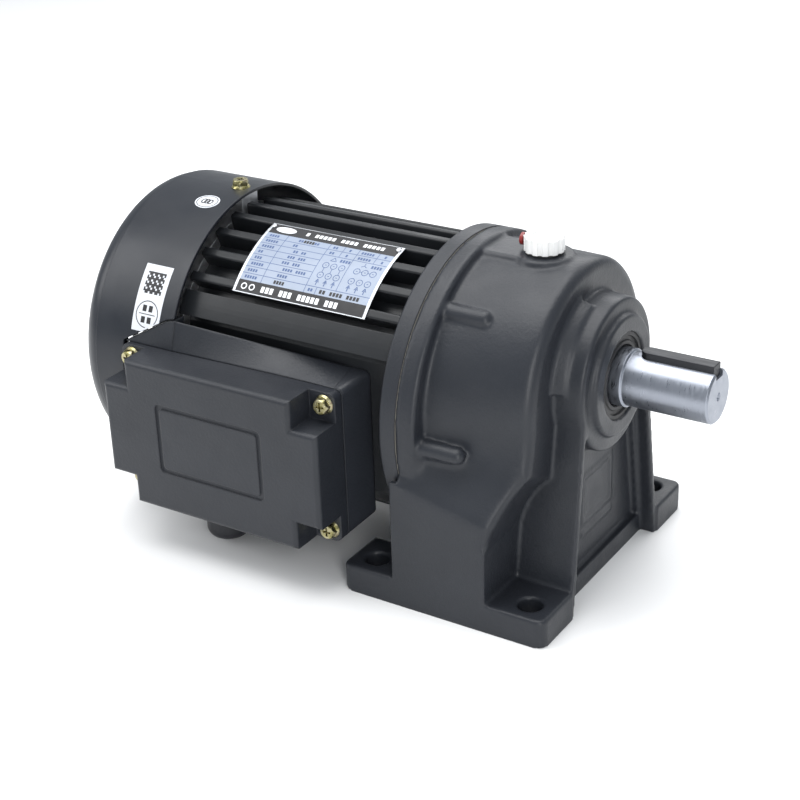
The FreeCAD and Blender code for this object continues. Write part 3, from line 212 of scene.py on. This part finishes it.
def plastic(name, colour, rough, scale=900, height=0.00002, spread=0.06, coat=0.0):
    """Moulded plastic, rubber, paper or film: slight mottling and a fine texture."""
    material, tree, shader = new_material(name)
    set_colour(tree, shader, noise(tree, 120, 3), mottle(colour, spread))
    set_roughness(tree, shader, noise(tree, 200, 2), rough - 0.05, rough + 0.05)
    shader.inputs["Coat Weight"].default_value = coat
    set_relief(tree, shader, 0.0004, [(noise(tree, scale, 3), height)])
    return material


def yellow_zinc(name):
    """Passivated zinc: gold, green and a little pink in patches."""
    material, tree, shader = new_material(name)
    patches = noise(tree, 260, 3)
    set_colour(tree, shader, patches, [(0.28, (0.10, 0.11, 0.05)), (0.45, (0.30, 0.27, 0.12)),
                                       (0.6, (0.46, 0.43, 0.27)), (0.75, (0.24, 0.15, 0.11))])
    shader.inputs["Metallic"].default_value = 1.0
    set_roughness(tree, shader, patches, 0.22, 0.38)
    set_relief(tree, shader, 0.0003, [(noise(tree, 1500, 2), 0.00002)])
    return material


CASE_GREY = (0.0185, 0.0208, 0.0262)
FRAME_GREY = (0.0105, 0.0118, 0.0138)
COVER_GREY = (0.0125, 0.0148, 0.0200)

MATERIALS = {
    "case_paint": paint("case_paint", CASE_GREY, 0.40, 620, 0.00016),
    "frame_paint": paint("frame_paint", FRAME_GREY, 0.36, 300, 0.00003, edge=0.0006),
    "cover_paint": paint("cover_paint", COVER_GREY, 0.34, 500, 0.00003, edge=0.0008, coat=0.15),
    "shaft_steel": metal("shaft_steel", (0.31, 0.33, 0.375), 0.34, (1, 0.15, 0.15), 1400, 0.000001, 0.04),
    "key_steel": metal("key_steel", (0.045, 0.046, 0.050), 0.42, (0.05, 1, 1), 900, 0.00002),
    "gear_steel": metal("gear_steel", (0.42, 0.42, 0.43), 0.32, (1, 1, 1), 500),
    "bearing_steel": metal("bearing_steel", (0.62, 0.63, 0.65), 0.16, (1, 1, 1), 700, 0.000006),
    "lamination_steel": metal("lamination_steel", (0.30, 0.31, 0.33), 0.40, (1, 0.02, 0.02), 1800, 0.00005),
    "bare_aluminium": metal("bare_aluminium", (0.58, 0.59, 0.61), 0.45, (1, 1, 1), 500, 0.00006),
    "copper_wire": metal("copper_wire", (0.55, 0.24, 0.09), 0.33, (1, 1, 1), 1300, 0.0003, 0.3),
    "yellow_zinc": yellow_zinc("yellow_zinc"),
    "black_steel": metal("black_steel", (0.05, 0.05, 0.055), 0.40),
    "white_plastic": plastic("white_plastic", (0.80, 0.80, 0.79), 0.35, spread=0.02, coat=0.3),
    "red_plastic": plastic("red_plastic", (0.20, 0.015, 0.014), 0.35, spread=0.08, coat=0.2),
    "black_plastic": plastic("black_plastic", (0.012, 0.013, 0.017), 0.42),
    "seal_rubber": plastic("seal_rubber", (0.012, 0.012, 0.013), 0.55, 700, 0.00004),
    "gasket_paper": plastic("gasket_paper", (0.16, 0.15, 0.13), 0.8, 1500, 0.00005),
    "nameplate_foil": metal("nameplate_foil", (0.58, 0.60, 0.63), 0.40, (0.03, 1, 1), 1200, 0.000004, 0.04),
    "label_vinyl": plastic("label_vinyl", (0.62, 0.64, 0.68), 0.45, spread=0.02, height=0.000005),
    "terminal_brass": metal("terminal_brass", (0.72, 0.52, 0.22), 0.28),
}

INK_BLACK = plastic("ink_black", (0.008, 0.008, 0.010), 0.50, height=0.000004)
INK_BLUE_FIELD = plastic("ink_blue_field", (0.25, 0.295, 0.38), 0.38, spread=0.03, height=0.000004, coat=0.2)
INK_LINE = plastic("ink_line", (0.045, 0.085, 0.20), 0.45, height=0.000004)
INK_WHITE = plastic("ink_white", (0.80, 0.82, 0.84), 0.40, spread=0.02, height=0.000004)

SLOT_OF = {part["node"]: part["material_slot"] for part in frame["record"]["subparts"]}
for node_name, node in nodes.items():
    node.data.materials.clear()
    node.data.materials.append(MATERIALS[SLOT_OF[node_name]])


# ---------------------------------------------------------------- mesh tools
def add_piece(name, mesh, body, material):
    piece = bpy.data.objects.new(name, mesh)
    bpy.context.scene.collection.objects.link(piece)
    mesh.materials.clear()
    mesh.materials.append(material)
    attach(piece, body)
    return piece


def apply_modifiers(piece):
    graph = bpy.context.evaluated_depsgraph_get()
    mesh = bpy.data.meshes.new_from_object(piece.evaluated_get(graph))
    piece.modifiers.clear()
    piece.data = mesh


SHOULDER_X = (-19, 40)      # where the casting flows more than the CAD, in millimetres
SHOULDER_Y = 66
SHOULDER_Z = (46, 88)


def on_shoulder(point):
    """True on the flared shoulders between the upright sides and the barrel."""
    x, y, z = point.x / MM, abs(point.y) / MM, point.z / MM
    return SHOULDER_X[0] < x < SHOULDER_X[1] and y > SHOULDER_Y and SHOULDER_Z[0] < z < SHOULDER_Z[1]


def casting(name, node, voxel, rounds, shoulder_rounds, triangles):
    """Remeshed copy of a CAD casting: every edge gets the soft radius of a real casting.

    rounds of smoothing go over all of it, and shoulder_rounds more over its shoulders.
    """
    mesh = nodes[node].data.copy()
    piece = add_piece(name, mesh, nodes[node]["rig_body"], MATERIALS[SLOT_OF[node]])
    remesh = piece.modifiers.new("skin", "REMESH")
    remesh.mode = "VOXEL"
    remesh.voxel_size = voxel
    remesh.adaptivity = 0.0
    smooth = piece.modifiers.new("soften", "SMOOTH")
    smooth.factor = 0.5
    smooth.iterations = rounds
    apply_modifiers(piece)
    shoulders = piece.vertex_groups.new(name="flowing")
    shoulders.add([vertex.index for vertex in piece.data.vertices if on_shoulder(vertex.co)], 1.0, "REPLACE")
    flow = piece.modifiers.new("flow", "SMOOTH")
    flow.vertex_group = "flowing"
    flow.factor = 0.6
    flow.iterations = shoulder_rounds
    apply_modifiers(piece)
    thin = piece.modifiers.new("thin", "DECIMATE")
    thin.ratio = min(1.0, triangles / (2 * len(piece.data.polygons)))
    apply_modifiers(piece)
    piece.data.polygons.foreach_set("use_smooth", [True] * len(piece.data.polygons))
    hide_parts(node)


# ---------------------------------------------------------------- printing on curved plates
FIELD_LIFT = 0.03           # heights of the ink over the plate, in millimetres
LINE_LIFT = 0.05
TOP_LIFT = 0.08
BAR_STEP = 1.6              # tallest flat piece of a bar on the curve
RING_STEPS = 28
WORD_SPACE = 1.6            # extra space between words, in letter gaps


class Print:
    """Flat artwork in millimetres, wrapped round the motor axis just above a plate."""

    def __init__(self, x0, radius, degrees, keep=None):
        self.x0 = x0
        self.radius = radius
        self.angle0 = math.radians(degrees)
        self.keep = keep
        self.points = []
        self.faces = []

    def at(self, u, v, lift):
        angle = self.angle0 + v * MM / self.radius
        reach = self.radius + lift * MM
        self.points.append((self.x0 + u * MM, MOTOR_AXIS.y - reach * math.cos(angle),
                            MOTOR_AXIS.z + reach * math.sin(angle)))
        return len(self.points) - 1

    def quad(self, corners, lift):
        marks = [self.at(u, v, lift) for u, v in corners]
        if self.keep is None or all(self.keep(self.points[mark]) for mark in marks):
            self.faces.append(marks)

    def bar(self, u0, u1, v0, v1, lift=LINE_LIFT):
        rows = max(1, math.ceil((v1 - v0) / BAR_STEP))
        for row in range(rows):
            low = v0 + (v1 - v0) * row / rows
            high = v0 + (v1 - v0) * (row + 1) / rows
            self.quad([(u0, low), (u1, low), (u1, high), (u0, high)], lift)

    def words(self, u, v, lengths, width, height, gap, lift=LINE_LIFT):
        """Groups of plain bars standing where lines of lettering would be."""
        for length in lengths:
            for _ in range(length):
                self.bar(u, u + width, v - height / 2, v + height / 2, lift)
                u += width + gap
            u += WORD_SPACE * gap + width

    def ring(self, u, v, inner, outer, squash=1.0, lift=LINE_LIFT):
        for step in range(RING_STEPS):
            a = 2 * math.pi * step / RING_STEPS
            b = 2 * math.pi * (step + 1) / RING_STEPS
            self.quad([(u + inner * math.cos(a), v + squash * inner * math.sin(a)),
                       (u + outer * math.cos(a), v + squash * outer * math.sin(a)),
                       (u + outer * math.cos(b), v + squash * outer * math.sin(b)),
                       (u + inner * math.cos(b), v + squash * inner * math.sin(b))], lift)

    def stroke(self, start, end, width):
        du = end[0] - start[0]
        dv = end[1] - start[1]
        size = math.hypot(du, dv)
        nu = -dv / size * width / 2
        nv = du / size * width / 2
        self.quad([(start[0] - nu, start[1] - nv), (end[0] - nu, end[1] - nv),
                   (end[0] + nu, end[1] + nv), (start[0] + nu, start[1] + nv)], LINE_LIFT)

    def finish(self, name, slot, material):
        mesh = bpy.data.meshes.new(name)
        mesh.from_pydata(self.points, [], self.faces)
        mesh.update()
        add_piece(name, mesh, "housing", material)


SMALL_TYPE = (1.15, 1.7, 0.45)      # letter width, height and gap
VOLT_TYPE = (1.2, 1.9, 0.45)
STAMP_TYPE = (1.3, 2.0, 0.4)
LARGE_STAMP_TYPE = (1.5, 2.2, 0.5)
HEADING_TYPE = (1.9, 2.6, 0.75)
FOOTER_TYPE = (2.0, 3.3, 0.75)
HEADING_V = 43.2
FOOTER_V = 3.7
TABLE_U = (1.6, 80.8)
TABLE_V = (7.2, 39.4)
TABLE_ROWS = 8
TABLE_MIDDLE = 42.0                 # rows of values on the left, wiring diagrams on the right
HEADINGS = (5, 4, 5, 3, 2, 5, 5, 4)                                     # letters in each row's heading
VALUES = ((), (4,), (4, 4), (3, 3), (3, 3), (2, 2), (2,), (4, 3))       # and in its values
RULE = 0.32                         # width of a table line


def print_nameplate():
    """Two dark bands, a pale table and two wiring diagrams; bars stand for all lettering."""
    def sheet():
        return Print(PLATE_X, PLATE_R, PLATE_ANGLE)

    left, right = TABLE_U
    low, high = TABLE_V
    pitch = (high - low) / TABLE_ROWS

    bands = sheet()
    bands.bar(left, right, 0.5, low)
    bands.bar(left, right, high, 47.0)
    bands.finish("nameplate_bands", "nameplate_foil", INK_BLACK)
    field = sheet()
    field.bar(left, right, low, high, FIELD_LIFT)
    field.finish("nameplate_field", "nameplate_foil", INK_BLUE_FIELD)

    white = sheet()
    white.ring(11.0, HEADING_V, 0.0, 6.4, 0.36, TOP_LIFT)
    white.words(24.0, HEADING_V, (1, 5, 4, 5), *HEADING_TYPE, TOP_LIFT)
    white.words(17.0, FOOTER_V, (3, 3, 5, 3), *FOOTER_TYPE, TOP_LIFT)
    for u in (6.0, 11.0):
        white.ring(u, 3.8, 1.2, 1.8, 1.0, TOP_LIFT)
    white.finish("nameplate_white_print", "nameplate_foil", INK_WHITE)

    lines = sheet()
    for row in range(1, TABLE_ROWS):
        v = low + row * pitch
        lines.bar(left, TABLE_MIDDLE, v - RULE / 2, v + RULE / 2)
    for u in (15.0, TABLE_MIDDLE):
        lines.bar(u - RULE / 2, u + RULE / 2, low, high)
    for v in (high - 2 * pitch, high - pitch, low + pitch):
        lines.bar(TABLE_MIDDLE, right, v, v + RULE)
    lines.bar(48.6, 48.6 + RULE, low, low + pitch)
    for u in (51.0, 60.0, 72.0):
        lines.bar(u, u + RULE, high - 2 * pitch, high)
    lines.bar(60.0, 60.0 + RULE, low + pitch, high - 2 * pitch)
    for row in range(TABLE_ROWS):
        v = low + (row + 0.5) * pitch
        lines.words(4.0, v, (HEADINGS[row],), *SMALL_TYPE)
        lines.words(21.5 + 1.3 * (row % 3), v, VALUES[row], *SMALL_TYPE)
    for row in (6, 7):
        for u, letters in ((44.5, 2), (54.5, 1), (62.0, 5), (76.0, 1)):
            lines.words(u, low + (row + 0.5) * pitch, (letters,), *SMALL_TYPE)
    lines.words(44.0, low + 0.5 * pitch, (2,), *SMALL_TYPE)
    for u, joined in ((47.0, False), (66.0, True)):
        for number in range(3):
            draw_terminal(lines, u + 4.9 * number, joined, number)
    for u in (53.5, 72.5):
        lines.words(u, 29.3, (4,), *VOLT_TYPE)
    for start, end in (((48.0, 28.2), (51.6, 28.2)), ((51.6, 28.2), (49.8, 30.6)),
                       ((49.8, 30.6), (48.0, 28.2)), ((68.5, 29.2), (68.5, 30.8)),
                       ((68.5, 29.2), (66.9, 28.2)), ((68.5, 29.2), (70.1, 28.2))):
        lines.stroke(start, end, 0.38)
    lines.finish("nameplate_blue_print", "nameplate_foil", INK_LINE)

    dark = sheet()
    dark.words(22.5, low + 0.5 * pitch, (4,), *STAMP_TYPE)
    dark.words(51.0, low + 0.5 * pitch, (2, 4, 4), *LARGE_STAMP_TYPE)
    dark.words(26.0, low + 7.5 * pitch, (4,), *STAMP_TYPE, TOP_LIFT)
    dark.finish("nameplate_stamped_print", "nameplate_foil", INK_BLACK)


def draw_terminal(lines, centre, joined, number):
    """One pair of terminals over a supply arrow; joined ones are bridged sideways, others upward."""
    lines.ring(centre, 25.0, 1.55, 1.95)
    lines.ring(centre, 18.6, 1.55, 1.95)
    lines.bar(centre - 0.5, centre + 0.5, 24.8, 25.2)
    lines.bar(centre - 0.5, centre + 0.5, 18.4, 18.8)
    lines.bar(centre - 0.28, centre + 0.28, 12.4, 15.0)
    lines.stroke((centre - 1.0, 14.0), (centre, 16.0), 0.5)
    lines.stroke((centre + 1.0, 14.0), (centre, 16.0), 0.5)
    if joined and number < 2:
        lines.bar(centre + 1.95, centre + 2.95, 24.8, 25.2)
    if not joined:
        lines.bar(centre - 0.18, centre + 0.18, 20.6, 23.0)


BOX_EDGE_X = -195.2         # sloping edge of the terminal box base, over the label's lower end
BOX_EDGE_Z = (113.6, 128.5)
BOX_EDGE_LENGTH = 27.2
BOX_EDGE_MARGIN = 0.4
HATCH_CELLS = 11
HATCH_CELL = 1.1
LABEL_BARS = ((3.6, 14.4, 9.4, 9.8), (5.6, 8.2, 11.0, 14.4), (9.6, 12.2, 11.0, 14.4),
              (5.6, 8.2, 4.8, 8.2), (9.6, 12.2, 4.8, 8.2))


def print_labels():
    """Inspection label with a hatched block and a ringed mark, and a ringed oval label."""
    def above_box(point):
        rise = (BOX_EDGE_Z[1] - BOX_EDGE_Z[0]) / BOX_EDGE_LENGTH
        edge = BOX_EDGE_Z[0] + (point[0] / MM - BOX_EDGE_X) * rise
        return point[2] / MM > edge + BOX_EDGE_MARGIN

    ink = Print(LABEL_X, LABEL_R, LABEL_ANGLE, above_box)
    for row in range(HATCH_CELLS):
        for column in range(HATCH_CELLS):
            if (row * 7 + column * 5 + row * column) % 3:
                u = 3.0 + HATCH_CELL * column
                v = 20.6 + HATCH_CELL * row
                ink.bar(u, u + HATCH_CELL, v, v + HATCH_CELL)
    ink.ring(9.0, 9.6, 6.9, 7.4)
    for corners in LABEL_BARS:
        ink.bar(*corners)
    ink.finish("inspection_label_print", "label_vinyl", INK_BLACK)
    oval = Print(OVAL_X, LABEL_R, OVAL_ANGLE)
    oval.ring(0.0, 0.0, 6.1, 6.6, 0.8)
    for number in range(3):
        oval.ring(-2.0 + 2.0 * number, 0.0, 1.1, 1.8, 1.2)
    oval.finish("approval_label_print", "label_vinyl", INK_BLACK)


# ---------------------------------------------------------------- stage, lights, camera
FLOOR_HALF = 6.0


def make_stage():
    low = cad_box[0][2]
    mesh = bpy.data.meshes.new("floor")
    mesh.from_pydata([(-FLOOR_HALF, -FLOOR_HALF, low), (FLOOR_HALF, -FLOOR_HALF, low),
                      (FLOOR_HALF, FLOOR_HALF, low), (-FLOOR_HALF, FLOOR_HALF, low)], [], [(0, 1, 2, 3)])
    floor = bpy.data.objects.new("floor", mesh)
    bpy.context.scene.collection.objects.link(floor)
    material, tree, shader = new_material("floor_paper")
    set_colour(tree, shader, noise(tree, 3, 2), [(0.3, (0.86, 0.86, 0.86)), (0.7, (0.90, 0.90, 0.90))])
    shader.inputs["Roughness"].default_value = 0.9
    mesh.materials.append(material)


LIT_POINT = Vector((-0.06, 0, 0.09))
WORLD_COLOUR = (0.90, 0.95, 1, 1)
WORLD_STRENGTH = 0.56


def area_light(name, position, size, power):
    data = bpy.data.lights.new(name, "AREA")
    data.shape = "RECTANGLE"
    data.size, data.size_y = size
    data.energy = power
    lamp = bpy.data.objects.new(name, data)
    bpy.context.scene.collection.objects.link(lamp)
    lamp.location = position
    lamp.rotation_euler = (LIT_POINT - Vector(position)).to_track_quat("-Z", "Y").to_euler()


def make_lights():
    area_light("top_softbox", (-0.25, 0.05, 1.4), (1.6, 1.2), 27)
    area_light("left_softbox", (-1.2, -0.7, 0.9), (0.7, 1.0), 8)
    area_light("front_strip", (0.75, -0.9, 0.45), (0.25, 0.9), 6.5)
    area_light("back_rim", (-0.2, 1.2, 0.8), (1.2, 0.5), 6)
    world = bpy.data.worlds.new("studio")
    bpy.context.scene.world = world
    world.use_nodes = True
    background = world.node_tree.nodes["Background"]
    background.inputs["Color"].default_value = WORLD_COLOUR
    background.inputs["Strength"].default_value = WORLD_STRENGTH


LENS = 76.63
CAMERA_AT = Vector((0.383925, -0.702724, 0.476291))
CAMERA_TARGET = Vector((-0.069040, -0.006717, 0.074789))
CAMERA_ROLL = math.radians(-2.0)


def make_camera():
    data = bpy.data.cameras.new("camera")
    data.lens = LENS
    data.sensor_width = 36.0
    data.clip_start = 0.01
    camera = bpy.data.objects.new("camera", data)
    bpy.context.scene.collection.objects.link(camera)
    back = (CAMERA_AT - CAMERA_TARGET).normalized()
    right = Vector((0, 0, 1)).cross(back).normalized()
    up = back.cross(right)
    axis_x = math.cos(CAMERA_ROLL) * right + math.sin(CAMERA_ROLL) * up
    axis_y = -math.sin(CAMERA_ROLL) * right + math.cos(CAMERA_ROLL) * up
    turn = Matrix((axis_x, axis_y, back)).transposed()
    camera.matrix_world = Matrix.Translation(CAMERA_AT) @ turn.to_4x4()
    bpy.context.scene.camera = camera


bpy.context.scene.view_settings.view_transform = "Standard"
make_camera()
make_stage()
make_lights()
print_nameplate()
print_labels()
casting("gear_case_casting", "gear_case", 1.0 * MM, rounds=3, shoulder_rounds=110, triangles=150000)
